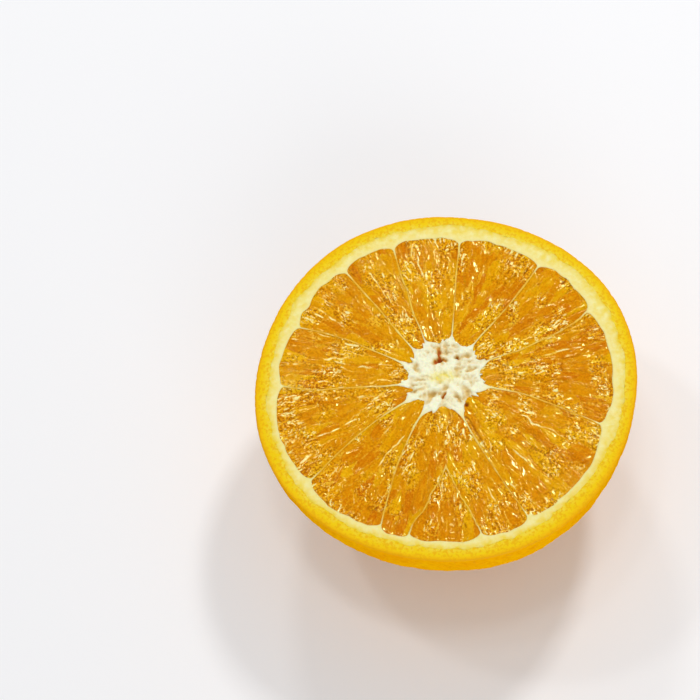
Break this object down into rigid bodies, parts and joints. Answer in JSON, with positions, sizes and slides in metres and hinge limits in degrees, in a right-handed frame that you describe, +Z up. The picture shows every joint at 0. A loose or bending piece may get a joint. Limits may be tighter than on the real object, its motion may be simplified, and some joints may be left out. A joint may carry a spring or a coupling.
{
  "type": "tangor half",
  "caption": "Cut half of a tangor lying on its dome, with a coloured skin, pale pith, membranes, star core and juicy segments.",
  "frame": {"origin": "Middle of the small flat spot at the pole, which rests on the surface; this is also the middle of the bounding box's base.", "axes": "+Z is up, square to the cut face, which looks up. +X runs to the right and +Y away from a viewer who looks down on the cut face as in the picture."},
  "size_m": [0.08, 0.08, 0.0349],
  "materials": {
    "skin": "waxy glossy orange citrus skin with fine oil-gland pits, bright yellow where cut",
    "pith": "matt spongy cream pith, membranes and core",
    "pulp": "wet amber juice sacs"
  },
  "bodies": {
    "root": {"peel": "skin", "pith": "pith", "pulp_01": "pulp", "pulp_02": "pulp", "pulp_03": "pulp", "pulp_04": "pulp", "pulp_05": "pulp", "pulp_06": "pulp", "pulp_07": "pulp", "pulp_08": "pulp", "pulp_09": "pulp", "pulp_10": "pulp", "pulp_11": "pulp", "pulp_12": "pulp"}
  },
  "joints": []
}
